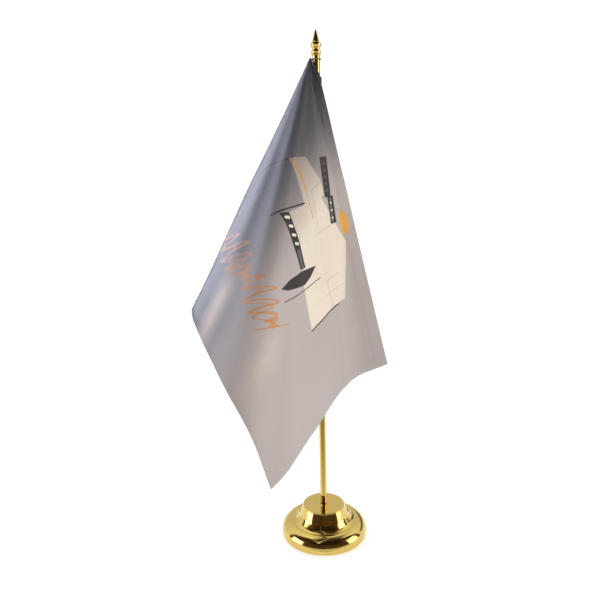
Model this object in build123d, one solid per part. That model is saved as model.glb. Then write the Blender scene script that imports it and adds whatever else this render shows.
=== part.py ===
from build123d import *
import math
import os

# Table flag on a weighted stand.  Millimetres, +Z up.
# Origin: centre of the stand's foot, on the surface that it rests on.
# -Y is the front, +X is to the right of somebody facing the front.

# ---- driving dimensions: stand ----
FOOT_R = 31.0
FOOT_BAND_H = 4.6
SHOULDER_R, SHOULDER_H = 28.9, 8.6
COVE_R, COVE_H = 22.4, 10.8
HUB_R, HUB_H = 15.2, 22.2
SHELL_WALL = 0.9
RIM_LIFT = 0.3
FELT_T, PLATE_T = 1.2, 0.8
SCREW_DISH_R, SCREW_DISH_LIFT = 5.0, 1.3

# ---- driving dimensions: pole and finial ----
POLE_R, POLE_WALL = 2.4, 0.6
POLE_TOP = 334.0
POLE_SUNK = 5.0
STUD_R, STUD_LENGTH = 1.95, 6.5
FINIAL_SEAT = POLE_TOP
COLLAR_R, COLLAR_T = 3.2, 0.7
FINIAL_R, FINIAL_H = 3.7, 16.0

# ---- driving dimensions: flag ----
HOIST, FLY = 150.0, 218.0
CLOTH_T = 0.4
CORNER_TOP = POLE_TOP - 1.0
SEAM_R = 4.0
SEAM_BEARING = 203.0
SLEEVE_GAP, SLEEVE_WALL = 0.4, 0.5
SLEEVE_DROP = 12.0

# Lean of the hanging cloth from the vertical, at every LEAN_STEP degrees of
# turn in the flat cloth about its top corner: the sleeve edge is at 0, the top
# edge at 90.  The cloth first stands straight out from the sleeve, folds back
# at about 30 degrees of turn, and hangs nearly plumb where it passes the pole.
LEANS = [0, 8, 16, 24, 30.5, 30, 29, 22.5, 15, 8, 4, 10.5, 29.5]
LEAN_STEP = 8.0
# Where the cloth wraps the pole, its edge slants down at this angle.
WRAP_LEAN = math.radians(32)
# Distance from the top corner at which the wrapped cloth keeps its exact width.
MIDDLE_REACH = 170.0

# ---- fits ----
RUNNING = 0.05      # radial clearance of a thread or shank that turns
SLACK = 0.1         # radial room where a piece only drops over another

HUB_UNDER = HUB_H - SHELL_WALL
PLATE_TOP = FELT_T + PLATE_T
POLE_FOOT = HUB_H - POLE_SUNK
TUBE_BORE_R = POLE_R - POLE_WALL


def ring(outer_r, inner_r, low, high):
    """A flat ring or tube about the pole's axis, between two heights."""
    tall = high - low
    blank = Cylinder(outer_r, tall, align=(Align.CENTER, Align.CENTER, Align.MIN))
    hole = Cylinder(inner_r, 3 * tall)
    return Pos(0, 0, low) * (blank - hole)


def rod(radius, low, high):
    """A solid round bar about the pole's axis, between two heights."""
    bar = Cylinder(radius, high - low, align=(Align.CENTER, Align.CENTER, Align.MIN))
    return Pos(0, 0, low) * bar


def spin(outline):
    """Revolve a closed outline, given as edges in the XZ plane, about Z."""
    return revolve(make_face(outline), Axis.Z, 360)


# ------------------------------------------------------------------ stand

def base_shell():
    """Spun two-tier cover: foot band, low shoulder, cove and flat-topped hub."""
    band_top = (FOOT_R, 0, FOOT_BAND_H)
    cove = (COVE_R, 0, COVE_H)
    waist = (HUB_R + 1.3, 0, HUB_H - 4.8)
    rim = (HUB_R, 0, HUB_H - 0.7)
    crown = (HUB_R - 0.7, 0, HUB_H)
    outline = [
        Line((0, 0, RIM_LIFT), (FOOT_R, 0, RIM_LIFT)),
        Line((FOOT_R, 0, RIM_LIFT), band_top),
        ThreePointArc(band_top, (SHOULDER_R, 0, SHOULDER_H), cove),
        ThreePointArc(cove, (HUB_R + 3.6, 0, COVE_H + 2.4), waist),
        Line(waist, rim),
        ThreePointArc(rim, (HUB_R - 0.2, 0, HUB_H - 0.2), crown),
        Line(crown, (0, 0, HUB_H)),
        Line((0, 0, HUB_H), (0, 0, RIM_LIFT)),
    ]
    solid = spin(outline)
    underside = solid.faces().sort_by(Axis.Z)[0]
    shell = offset(solid, amount=-SHELL_WALL, openings=underside)
    return shell - rod(POLE_R + RUNNING, HUB_H - 3, HUB_H + 3)


SOCKET_FLANGE_R, SOCKET_FLANGE_T = 8.0, 1.2
SOCKET_BODY_R, SOCKET_THREAD_R = 6.0, 4.5
GASKET_T = 0.4
BALLAST_R, BALLAST_STEP_R = 26.5, 19.5
BALLAST_LOW, BALLAST_STEP, BALLAST_HIGH = 3.4, 7.2, 9.4
NUT_FLATS, NUT_H, NUT_WASHER_T = 12.0, 2.6, 0.6
NUT_LOW = 3.5
SCREW_R, SCREW_HEAD_R, SCREW_HEAD_H = 1.5, 2.9, 0.9
SCREW_WASHER_T = 0.3


def pole_socket():
    """Flanged bush: takes the pole from above and the centre screw from below."""
    top = HUB_UNDER - GASKET_T
    flange = rod(SOCKET_FLANGE_R, top - SOCKET_FLANGE_T, top)
    body = rod(SOCKET_BODY_R, BALLAST_HIGH, top)
    shank = rod(SOCKET_THREAD_R, NUT_LOW, BALLAST_HIGH)
    pocket = rod(POLE_R + RUNNING, POLE_FOOT, top + 1)
    thread = rod(STUD_R + RUNNING, POLE_FOOT - STUD_LENGTH - 0.7, top)
    screw_hole = rod(SCREW_R, NUT_LOW - 1, NUT_LOW + 5.0)
    return flange + body + shank - pocket - thread - screw_hole


def socket_gasket():
    """Fibre ring between the socket's flange and the hub."""
    return ring(SOCKET_FLANGE_R, POLE_R + 0.3, HUB_UNDER - GASKET_T, HUB_UNDER)


def ballast_weight():
    """Stepped cast-iron ring that keeps the stand upright."""
    wide = ring(BALLAST_R, SOCKET_THREAD_R + SLACK, BALLAST_LOW, BALLAST_STEP)
    outer_edges = wide.edges().filter_by(GeomType.CIRCLE).sort_by(Edge.length)[-2:]
    narrow = ring(BALLAST_STEP_R, SOCKET_THREAD_R + SLACK, BALLAST_STEP, BALLAST_HIGH)
    nut_recess = rod(NUT_FLATS / 2 + 2.0, BALLAST_LOW - 1, NUT_LOW + NUT_H + NUT_WASHER_T)
    return chamfer(outer_edges, 0.8) + narrow - nut_recess


def ballast_washer():
    """Flat washer between the nut and the ballast."""
    low = NUT_LOW + NUT_H
    return ring(NUT_FLATS / 2 + 1.6, SOCKET_THREAD_R + SLACK, low, low + NUT_WASHER_T)


def ballast_nut():
    """Hexagonal nut that clamps the ballast up against the socket's shoulder."""
    hexagon = extrude(RegularPolygon(NUT_FLATS / 2, 6, major_radius=False), NUT_H)
    bore = rod(SOCKET_THREAD_R, NUT_LOW - 1, NUT_LOW + NUT_H + 1)
    return Pos(0, 0, NUT_LOW) * hexagon - bore


def bottom_plate():
    """Pressed steel disc that closes the shell, dished up over the screw head."""
    outer_r = FOOT_R - SHELL_WALL - 0.3
    flat = ring(outer_r, SCREW_DISH_R, FELT_T, PLATE_TOP)
    dish_low = FELT_T + SCREW_DISH_LIFT
    wall = ring(SCREW_DISH_R + PLATE_T, SCREW_DISH_R, FELT_T, dish_low)
    dish = ring(SCREW_DISH_R + PLATE_T, SCREW_R + SLACK, dish_low, dish_low + PLATE_T)
    return flat + wall + dish


def centre_screw():
    """Pan-head screw that pulls the plate up to the socket."""
    seat = FELT_T + SCREW_DISH_LIFT - SCREW_WASHER_T
    head = rod(SCREW_HEAD_R, seat - SCREW_HEAD_H, seat)
    slot = Pos(0, 0, seat - SCREW_HEAD_H) * Box(2 * SCREW_HEAD_R + 1, 0.7, 0.8)
    return head + rod(SCREW_R, seat, NUT_LOW + 4.0) - slot


def screw_washer():
    """Washer under the centre screw's head."""
    seat = FELT_T + SCREW_DISH_LIFT
    return ring(SCREW_HEAD_R + 0.9, SCREW_R + SLACK, seat - SCREW_WASHER_T, seat)


def felt_pad():
    """Felt disc glued under the plate: the surface that the stand rests on."""
    return rod(FOOT_R - SHELL_WALL - 0.6, 0, FELT_T)


# ------------------------------------------------------------------ pole

def pole_tube():
    """Brass-plated tube, from the bottom of its pocket to the finial."""
    return ring(POLE_R, TUBE_BORE_R, POLE_FOOT, POLE_TOP)


def pole_stud():
    """Plug in the tube's foot, with the threaded end that screws into the socket."""
    plug = rod(TUBE_BORE_R, POLE_FOOT, POLE_FOOT + 9)
    thread = rod(STUD_R, POLE_FOOT - STUD_LENGTH, POLE_FOOT)
    return plug + chamfer(thread.edges().sort_by(Axis.Z)[0], 0.4)


FINIAL_STUD_R, FINIAL_STUD_IN = 1.05, 5.5
BUSH_H = 8.0


def pole_top_bush():
    """Tapped bush in the tube's top end."""
    bush = rod(TUBE_BORE_R, POLE_TOP - BUSH_H, POLE_TOP)
    return bush - rod(FINIAL_STUD_R + RUNNING, POLE_TOP - FINIAL_STUD_IN - 0.6, POLE_TOP + 1)


# ------------------------------------------------------------------ finial

def finial_collar():
    """Thin plate under the finial, wider than the pole."""
    return ring(COLLAR_R, FINIAL_STUD_R + SLACK, FINIAL_SEAT, FINIAL_SEAT + COLLAR_T)


def finial_body():
    """Turned spearhead: bead, groove, swelling and a slim cone with a blunt tip."""
    low = FINIAL_SEAT + COLLAR_T
    tip = FINIAL_SEAT + FINIAL_H
    blunt_r, eighth = 0.45, math.sqrt(0.5)
    bead_foot = (FINIAL_R - 0.8, 0, low)
    bead_top = (FINIAL_R - 0.75, 0, low + 2.7)
    swell_foot = (FINIAL_R - 0.75, 0, low + 3.9)
    neck = (2.5, 0, low + 8.0)
    blunt_foot = (blunt_r, 0, tip - blunt_r)
    blunt_mid = (blunt_r * eighth, 0, tip - blunt_r * (1 - eighth))
    outline = [
        Line((0, 0, low), bead_foot),
        ThreePointArc(bead_foot, (FINIAL_R, 0, low + 1.35), bead_top),
        Line(bead_top, swell_foot),
        ThreePointArc(swell_foot, (FINIAL_R, 0, low + 5.6), neck),
        ThreePointArc(neck, (1.35, 0, low + 11.3), blunt_foot),
        ThreePointArc(blunt_foot, blunt_mid, (0, 0, tip)),
        Line((0, 0, tip), (0, 0, low)),
    ]
    return spin(outline) - rod(FINIAL_STUD_R, low - 1, low + 4.5)


def finial_stud():
    """Threaded pin fixed in the finial, which screws into the pole's bush."""
    return rod(FINIAL_STUD_R, POLE_TOP - FINIAL_STUD_IN, FINIAL_SEAT + COLLAR_T + 4.5)


# ------------------------------------------------------------------ flag

def lean_at(turn):
    """Lean in radians at a turn in degrees: a smooth curve through LEANS."""
    place = turn / LEAN_STEP
    i = min(int(place), len(LEANS) - 2)
    t = place - i
    before = LEANS[i - 1] if i else 2 * LEANS[0] - LEANS[1]
    start, end = LEANS[i], LEANS[i + 1]
    after = LEANS[i + 2] if i + 2 < len(LEANS) else 2 * end - start
    slope_in, slope_out = (end - before) / 2, (after - start) / 2
    bend_in = 3 * (end - start) - 2 * slope_in - slope_out
    bend_out = slope_in + slope_out - 2 * (end - start)
    return math.radians(start + t * (slope_in + t * (bend_in + t * bend_out)))


def hang(turns, fine=0.25):
    """Bearing in radians at each turn, such that the cloth doesn't stretch."""
    bearings = []
    bearing, here = math.radians(SEAM_BEARING), 0.0
    for turn in turns:
        steps = round((turn - here) / fine)
        for k in range(steps):
            a = here + (turn - here) * k / steps
            b = here + (turn - here) * (k + 1) / steps
            step = math.radians(b - a)
            rise = (lean_at(b) - lean_at(a)) / step
            sideways = math.sqrt(max(1 - rise * rise, 0))
            wrapping = bearing > math.radians(SEAM_BEARING + 90)
            pole_share = SEAM_R / MIDDLE_REACH if wrapping else 0
            level = max(math.sin((lean_at(a) + lean_at(b)) / 2), 0.02)
            bearing += step * sideways / (pole_share + level)
        bearings.append(bearing)
        here = turn
    return bearings


def cloth_ray(turn, bearing):
    """Start and direction of the straight line that the cloth holds at a turn.

    Past a quarter of the way round the pole the line starts further round and
    lower, because the cloth there lies against the sleeve first.
    """
    wrap = max(0.0, bearing - math.radians(SEAM_BEARING + 90))
    start_at = math.radians(SEAM_BEARING) + wrap
    drop = SEAM_R * wrap / math.tan(WRAP_LEAN)
    used = SEAM_R * wrap / math.sin(WRAP_LEAN)
    start = Vector(SEAM_R * math.cos(start_at), SEAM_R * math.sin(start_at), CORNER_TOP - drop)
    lean = lean_at(turn)
    level = math.sin(lean)
    direction = Vector(level * math.cos(bearing), level * math.sin(bearing), -math.cos(lean))
    return start, direction, used


def cloth_reach(turn):
    """Distance from the top corner to the flat cloth's edge at a turn."""
    corner = math.degrees(math.atan2(FLY, HOIST))
    if turn <= corner:
        return HOIST / math.cos(math.radians(turn))
    return FLY / math.sin(math.radians(turn))


def flag_cloth():
    """The hanging cloth, lofted straight from one line of the cloth to the next."""
    corner = math.degrees(math.atan2(FLY, HOIST))
    strips_below, strips_beyond = 18, 14
    turns = [corner * k / strips_below for k in range(strips_below + 1)]
    turns += [corner + (90 - corner) * (k + 1) / strips_beyond for k in range(strips_beyond)]
    rays = [cloth_ray(turn, bearing) for turn, bearing in zip(turns, hang(turns))]
    sections = []
    for i, (start, direction, used) in enumerate(rays):
        ahead, behind = rays[min(i + 1, len(rays) - 1)], rays[max(i - 1, 0)]
        across = (ahead[0] + ahead[1] * HOIST) - (behind[0] + behind[1] * HOIST)
        side = direction.cross(across).normalized() * (CLOTH_T / 2)
        near = start + direction * 1.5
        far = start + direction * (cloth_reach(turns[i]) - used)
        sections.append(Wire.make_polygon([near + side, far + side, far - side, near - side]))
    return Solid.make_loft(sections, ruled=True)


def seam_frame(height):
    """A place on the seam, with X pointing away from the pole."""
    return Pos(0, 0, height) * Rot(0, 0, SEAM_BEARING)


SLEEVE_R = POLE_R + SLEEVE_GAP
SLEEVE_TOP, SLEEVE_FOOT = CORNER_TOP - SLEEVE_DROP, CORNER_TOP - HOIST
SEAM_T = 2 * CLOTH_T


def pole_sleeve():
    """Tube of cloth round the pole, with the doubled seam that the flag hangs from."""
    outer_r = SLEEVE_R + SLEEVE_WALL
    tall = SLEEVE_TOP - SLEEVE_FOOT
    tube = ring(outer_r, SLEEVE_R, SLEEVE_FOOT, SLEEVE_TOP)
    seam_from = SLEEVE_R + SLEEVE_WALL / 2
    seam = Box(SEAM_R - seam_from, SEAM_T, tall, align=(Align.MIN, Align.CENTER, Align.MIN))
    return tube + seam_frame(SLEEVE_FOOT) * Pos(seam_from, 0, 0) * seam


def sleeve_stitching():
    """Two rows of thread, one on each face of the seam."""
    pitch, length, thread = 4.0, 3.0, 0.15
    count = int((SLEEVE_TOP - SLEEVE_FOOT) / pitch)
    stitches = []
    for k in range(count):
        height = SLEEVE_FOOT + (k + 0.5) * pitch
        for face in (-1, 1):
            place = Pos(SEAM_R - 0.35, face * (SEAM_T + thread) / 2, 0)
            stitches.append(seam_frame(height) * place * Box(0.3, thread, length))
    return Compound(children=stitches)


def hanging_loop():
    """Cord loop from the flag's top corner round the pole, under the finial."""
    cord_r, height = 0.4, CORNER_TOP - 1.2
    loop_r = SLEEVE_R + cord_r
    loop = Pos(0, 0, height) * Torus(loop_r, cord_r)
    tail = Cylinder(cord_r, SEAM_R - loop_r, align=(Align.CENTER, Align.CENTER, Align.MIN))
    return loop + seam_frame(height) * Pos(loop_r, 0, 0) * Rot(0, 90, 0) * tail


PIECES = [
    base_shell, pole_socket, socket_gasket, ballast_weight, ballast_washer, ballast_nut,
    bottom_plate, centre_screw, screw_washer, felt_pad,
    pole_tube, pole_stud, pole_top_bush,
    finial_collar, finial_body, finial_stud,
    flag_cloth, pole_sleeve, sleeve_stitching, hanging_loop,
]

os.makedirs("parts", exist_ok=True)
for piece in PIECES:
    export_step(piece(), f"parts/{piece.__name__}.step")
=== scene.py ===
import math

import bpy
from mathutils import Matrix, Vector, noise


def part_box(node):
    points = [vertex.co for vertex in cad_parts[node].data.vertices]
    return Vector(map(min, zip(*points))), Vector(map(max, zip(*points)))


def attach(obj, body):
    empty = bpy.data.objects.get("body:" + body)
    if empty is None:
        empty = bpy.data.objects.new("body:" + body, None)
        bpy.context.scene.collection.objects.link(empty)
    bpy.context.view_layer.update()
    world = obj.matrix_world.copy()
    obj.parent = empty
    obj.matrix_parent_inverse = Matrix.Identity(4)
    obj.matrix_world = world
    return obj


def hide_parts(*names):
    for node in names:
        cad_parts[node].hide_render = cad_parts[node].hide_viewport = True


# A table flag on a weighted, gold-plated stand.  Shapes are worked out in
# millimetres, in the frame of the CAD model, and scaled to metres as each mesh
# is made.  +Z is up the pole, -Y is the front.
MM = 0.001

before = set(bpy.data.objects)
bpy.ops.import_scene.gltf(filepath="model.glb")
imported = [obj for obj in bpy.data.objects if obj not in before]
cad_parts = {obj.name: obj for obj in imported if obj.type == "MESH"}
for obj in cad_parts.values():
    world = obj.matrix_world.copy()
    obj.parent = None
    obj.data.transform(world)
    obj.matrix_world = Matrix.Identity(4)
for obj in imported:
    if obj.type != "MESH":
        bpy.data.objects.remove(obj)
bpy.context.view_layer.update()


def top_of(node):
    """Highest point of a CAD node, in millimetres."""
    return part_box(node)[1].z / MM


# ---- sizes that the looks share with the frame, in millimetres ----
FOOT_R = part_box("base_shell")[1].x / MM
RIM_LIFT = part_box("base_shell")[0].z / MM
HUB_H = top_of("base_shell")
FOOT_BAND_H = 4.6
SHOULDER_R, SHOULDER_H = 28.9, 8.6
COVE_R, COVE_H = 22.4, 10.8
HUB_R = 15.2
SHELL_WALL = 0.9

POLE_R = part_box("pole_tube")[1].x / MM
POLE_WALL, TUBE_EDGE = 0.6, 0.15
FINIAL_HOLE_R, COLLAR_HOLE_R = 1.05, 1.15
POLE_TOP = top_of("pole_tube")
POLE_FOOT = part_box("pole_tube")[0].z / MM
FINIAL_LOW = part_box("finial_body")[0].z / MM
FINIAL_TIP = top_of("finial_body")

HOIST, FLY = 150.0, 218.0
CLOTH_T, HEM_T, HEM_W = 0.30, 0.46, 5.0
RIM_SHARE = 0.55  # how thick the cloth's very edge is, as a share, so that it looks rounded
CORNER_TOP = POLE_TOP - 1.0
SEAM_R, SEAM_BEARING = 4.0, 203.0
SLEEVE_R, SLEEVE_WALL = 2.85, 0.4
SLEEVE_TOP, SLEEVE_FOOT = CORNER_TOP - 12.0, CORNER_TOP - HOIST

# Lean of the cloth from the vertical, at every LEAN_STEP degrees of turn in
# the flat cloth about its top corner, from the sleeve edge (0) to the top edge.
LEANS = [0, 8, 16, 24, 30.5, 30, 29, 22.5, 15, 8, 4, 10.5, 29.5]
LEAN_STEP = 8.0
WRAP_LEAN = math.radians(32)
WRAP_SOFT = 0.16
MIDDLE_REACH = 170.0
HANG_STEP = 0.25
# Past EASE_FROM degrees of turn the drape is averaged over up to EASE_MOST degrees each
# way, and is kept EASE_CLEAR millimetres from the pole's axis.
EASE_FROM, EASE_MOST, EASE_CLEAR = 58.0, 8.0, 3.8
EASE_WEIGHTS = [
    (-1.0, 0.08), (-0.66, 0.16), (-0.33, 0.17), (0.0, 0.18),
    (0.33, 0.17), (0.66, 0.16), (1.0, 0.08),
]
STITCH_SPOTS = (-0.5, -0.4, 0, 0.4, 0.5)  # places along one stitch, as shares of its length


# ------------------------------------------------------------------ meshes

def add_mesh(name, points, faces, uvs=None, sharp_above=40):
    """A smooth-shaded object from points in millimetres."""
    mesh = bpy.data.meshes.new(name)
    mesh.from_pydata([tuple(c * MM for c in p) for p in points], [], faces)
    if uvs is not None:
        layer = mesh.uv_layers.new(name="cloth")
        for loop in mesh.loops:
            layer.data[loop.index].uv = uvs[loop.vertex_index]
    mesh.validate()
    mesh.shade_smooth()
    mesh.set_sharp_from_angle(angle=math.radians(sharp_above))
    piece = bpy.data.objects.new(name, mesh)
    bpy.context.scene.collection.objects.link(piece)
    return piece


def circle_centre(start, through, end):
    """Centre of the circle through three points."""
    (ax, ay), (bx, by), (cx, cy) = start, through, end
    d = 2 * (ax * (by - cy) + bx * (cy - ay) + cx * (ay - by))
    a2, b2, c2 = ax * ax + ay * ay, bx * bx + by * by, cx * cx + cy * cy
    return ((a2 * (by - cy) + b2 * (cy - ay) + c2 * (ay - by)) / d,
            (a2 * (cx - bx) + b2 * (ax - cx) + c2 * (bx - ax)) / d)


def arc(start, through, end, count):
    """Points of the circular arc from start, through a point, to end."""
    (ax, ay), (bx, by), (cx, cy) = start, through, end
    ox, oy = circle_centre(start, through, end)
    radius = math.hypot(ax - ox, ay - oy)
    first = math.atan2(ay - oy, ax - ox)
    sweep = (math.atan2(cy - oy, cx - ox) - first) % math.tau
    middle = (math.atan2(by - oy, bx - ox) - first) % math.tau
    if middle > sweep:
        sweep -= math.tau
    angles = [first + sweep * k / count for k in range(count + 1)]
    return [(ox + radius * math.cos(a), oy + radius * math.sin(a)) for a in angles]


def lathe(name, profile, around=160, closed=True):
    """Spin a profile of (radius, height) about the pole's axis.

    A closed profile is a ring's section; an open one starts and ends on the axis.
    """
    points, faces, rows = [], [], []
    for r, z in profile:
        if r < 1e-6:
            rows.append([len(points)] * around)
            points.append((0, 0, z))
            continue
        rows.append(list(range(len(points), len(points) + around)))
        turn = math.tau / around
        points += [(r * math.cos(k * turn), r * math.sin(k * turn), z) for k in range(around)]
    pairs = list(zip(rows, rows[1:])) + ([(rows[-1], rows[0])] if closed else [])
    for low, high in pairs:
        for k in range(around):
            n = (k + 1) % around
            corners = [low[k], low[n], high[n], high[k]]
            faces.append(list(dict.fromkeys(corners)))
    return add_mesh(name, points, faces, sharp_above=30)


def tube_along(path, radius, around=8, closed=False):
    """Points and faces of a round tube along a list of Vectors."""
    points, faces = [], []
    count = len(path)
    for i, centre in enumerate(path):
        ahead = path[(i + 1) % count] if closed else path[min(i + 1, count - 1)]
        behind = path[i - 1] if closed or i else path[0]
        along = (ahead - behind).normalized()
        side = (side - along * side.dot(along) if i else along.orthogonal()).normalized()
        up = along.cross(side)
        for k in range(around):
            a = math.tau * k / around
            points.append(centre + (side * math.cos(a) + up * math.sin(a)) * radius)
    for i in range(count if closed else count - 1):
        for k in range(around):
            n, j = (k + 1) % around, (i + 1) % count
            faces.append([i * around + k, i * around + n, j * around + n, j * around + k])
    if not closed:
        faces.append(list(range(around))[::-1])
        faces.append([(count - 1) * around + k for k in range(around)])
    return points, faces


def join_parts(parts):
    """One list of points and one of faces from several (points, faces) pairs."""
    points, faces = [], []
    for some_points, some_faces in parts:
        faces += [[i + len(points) for i in face] for face in some_faces]
        points += [tuple(p) for p in some_points]
    return points, faces


def place(piece, body, material, replaces=()):
    """Give a piece its material, its body and the CAD nodes it stands for."""
    piece.data.materials.clear()
    piece.data.materials.append(material)
    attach(piece, body)
    if replaces:
        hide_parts(*replaces)
    return piece


# ------------------------------------------------------------------ materials

class Wire:
    """A number on a material's node tree, with arithmetic that adds Math nodes."""

    def __init__(self, tree, socket):
        self.tree, self.socket = tree, socket

    def math(self, operation, other=None, clamp=False):
        node = self.tree.nodes.new("ShaderNodeMath")
        node.operation, node.use_clamp = operation, clamp
        for place_in, value in enumerate((self, other)):
            if isinstance(value, Wire):
                self.tree.links.new(value.socket, node.inputs[place_in])
            elif value is not None:
                node.inputs[place_in].default_value = value
        return Wire(self.tree, node.outputs[0])

    def __add__(self, other):
        return self.math("ADD", other)

    def __sub__(self, other):
        return self.math("SUBTRACT", other)

    def __mul__(self, other):
        return self.math("MULTIPLY", other)

    def __truediv__(self, other):
        return self.math("DIVIDE", other)

    def least(self, other):
        return self.math("MINIMUM", other)

    def size(self):
        return self.math("ABSOLUTE")

    def clamped(self):
        return self.math("ADD", 0.0, clamp=True)

    def inside(self, blur=0.12):
        """1 where the number is above 0, 0 where it is below, soft over blur."""
        return (self / blur + 0.5).clamped()


def hump(value, centre, half_width, soft):
    """1 within half_width of centre, falling to 0 over soft."""
    return (((value - centre).size() * -1 + half_width) / soft + 0.5).clamped()


class Paint:
    """A Principled material that is built up node by node."""

    def __init__(self, name, **settings):
        self.material = bpy.data.materials.new(name)
        self.material.use_nodes = True
        self.tree = self.material.node_tree
        self.shader = self.tree.nodes["Principled BSDF"]
        for socket, value in settings.items():
            self.shader.inputs[socket.replace("_", " ")].default_value = value

    def node(self, kind, inputs=None, **settings):
        node = self.tree.nodes.new(kind)
        for key, value in settings.items():
            setattr(node, key, value)
        for key, value in (inputs or {}).items():
            if isinstance(value, (Wire, bpy.types.NodeSocket)):
                self.tree.links.new(getattr(value, "socket", value), node.inputs[key])
            else:
                node.inputs[key].default_value = value
        return node

    def coordinates(self, kind="Object"):
        return self.node("ShaderNodeTexCoord").outputs[kind]

    def split(self, vector):
        node = self.node("ShaderNodeSeparateXYZ", {0: vector})
        return [Wire(self.tree, out) for out in node.outputs]

    def noise(self, scale, detail=3.0, vector=None, stretch=None, roughness=0.5):
        vector = vector or self.coordinates()
        if stretch:
            vector = self.node("ShaderNodeMapping", {0: vector, "Scale": stretch}).outputs[0]
        inputs = {"Vector": vector, "Scale": scale, "Detail": detail, "Roughness": roughness}
        return Wire(self.tree, self.node("ShaderNodeTexNoise", inputs).outputs[0])

    def between(self, factor, low, high):
        """A number from low to high as factor goes from 0 to 1."""
        return factor * (high - low) + low

    def mix(self, factor, first, second):
        """A colour between two, which are colours or sockets."""
        node = self.node("ShaderNodeMix", data_type="RGBA")
        for key, value in ((0, factor), (6, first), (7, second)):
            if isinstance(value, (Wire, bpy.types.NodeSocket)):
                self.tree.links.new(getattr(value, "socket", value), node.inputs[key])
            else:
                node.inputs[key].default_value = value if key == 0 else (*value, 1)
        return node.outputs[2]

    def ramp(self, factor, stops):
        """A colour that runs through (place, colour) stops."""
        node = self.node("ShaderNodeValToRGB", {0: factor})
        points = node.color_ramp.elements
        while len(points) < len(stops):
            points.new(0.5)
        for point, (spot, colour) in zip(points, stops):
            point.position, point.color = spot, (*colour, 1)
        return node.outputs[0]

    def bump(self, height, distance_mm, after=None, strength=1.0):
        inputs = {"Height": height, "Distance": distance_mm * MM, "Strength": strength}
        if after is not None:
            inputs["Normal"] = after
        return self.node("ShaderNodeBump", inputs).outputs[0]

    def feed(self, **sockets):
        for name, value in sockets.items():
            socket = self.shader.inputs[name.replace("_", " ")]
            self.tree.links.new(getattr(value, "socket", value), socket)
        return self.material


def polished_gold():
    """Mirror-polished plating, with faint spinning lines, haze and fingerprints."""
    paint = Paint("polished_gold", Metallic=1.0)
    x, y, z = paint.split(paint.coordinates())
    from_axis = (x * x + y * y).math("SQRT")
    spin_lines = paint.node("ShaderNodeCombineXYZ", {0: from_axis, 1: z})
    lines = paint.noise(3500.0, 2.0, spin_lines.outputs[0])
    haze = paint.noise(90.0, 4.0)
    specks = paint.noise(900.0, 2.0)
    colour = paint.mix(haze, (0.74, 0.555, 0.170), (0.68, 0.51, 0.145))
    tarnish = (specks - 0.68).inside(0.2) * 0.35
    colour = paint.mix(tarnish, colour, (0.42, 0.28, 0.09))
    rough = paint.between(haze, 0.035, 0.11) + lines * 0.02 + tarnish * 0.25
    waves = paint.noise(45.0, 1.0)
    normal = paint.bump(waves, 0.05, strength=0.6)
    normal = paint.bump(lines, 0.0015, normal)
    return paint.feed(Base_Color=colour, Roughness=rough, Normal=normal)


def plain_steel():
    """Zinc-plated steel with fine brushing and a little grime."""
    paint = Paint("plain_steel", Metallic=1.0)
    brushing = paint.noise(1500.0, 3.0, stretch=(1, 1, 0.05))
    grime = paint.noise(160.0, 5.0)
    colour = paint.mix(grime, (0.60, 0.60, 0.62), (0.38, 0.37, 0.35))
    rough = paint.between(grime, 0.22, 0.5)
    return paint.feed(Base_Color=colour, Roughness=rough, Normal=paint.bump(brushing, 0.01))


def cast_iron():
    """Sand-cast iron under a dull black coat."""
    paint = Paint("cast_iron", Metallic=0.7)
    sand = paint.noise(1100.0, 5.0, roughness=0.7)
    patches = paint.noise(120.0, 4.0)
    colour = paint.mix(patches, (0.035, 0.034, 0.036), (0.09, 0.07, 0.055))
    rough = paint.between(sand, 0.5, 0.85)
    return paint.feed(Base_Color=colour, Roughness=rough, Normal=paint.bump(sand, 0.25))


def green_felt():
    """Pressed wool felt: matted fibres in uneven tufts."""
    paint = Paint("green_felt", Sheen_Weight=0.5, Sheen_Roughness=0.6)
    fibres = paint.noise(2600.0, 6.0, roughness=0.75)
    tufts = paint.noise(240.0, 4.0)
    colour = paint.mix(fibres, (0.010, 0.045, 0.022), (0.035, 0.11, 0.058))
    colour = paint.mix(tufts * 0.4, colour, (0.02, 0.06, 0.035))
    rough = paint.between(fibres, 0.85, 1.0)
    normal = paint.bump(fibres, 0.18)
    return paint.feed(Base_Color=colour, Roughness=rough, Normal=paint.bump(tufts, 0.12, normal))


def red_fibre():
    """Vulcanised fibre of a gasket."""
    paint = Paint("red_fibre")
    grain = paint.noise(900.0, 4.0, stretch=(1, 1, 4))
    colour = paint.mix(grain, (0.20, 0.045, 0.025), (0.33, 0.09, 0.05))
    rough = paint.between(grain, 0.55, 0.8)
    return paint.feed(Base_Color=colour, Roughness=rough, Normal=paint.bump(grain, 0.03))


def thread_material(name, dark, light, dyed_and_shaded=False):
    """Twisted polyester thread, that may take the colour of the cloth it runs in, with its painted
    shade and highlights.
    """
    paint = Paint(name, Sheen_Weight=0.1)
    twist = paint.noise(2200.0, 2.0, stretch=(1, 1, 0.4))
    colour = paint.mix(twist, dark, light)
    # Painted shade and highlights: the thread takes the cloth's colour here.
    if dyed_and_shaded:
        u, v, _ = paint.split(paint.coordinates("UV"))
        colour = paint.mix(twist * 0.15, dye_and_painted_light(paint, u * FLY, v * HOIST), colour)
    rough = paint.between(twist, 0.45, 0.7)
    return paint.feed(Base_Color=colour, Roughness=rough, Normal=paint.bump(twist, 0.04))


# ---- the print on the flag, with painted shade and painted highlights in it, in millimetres on the flat cloth ----
# Across is measured from the sleeve towards the fly, down from the top edge.
CREAM, CREAM_SHADE = (0.93, 0.87, 0.76), (0.72, 0.60, 0.48)
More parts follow.
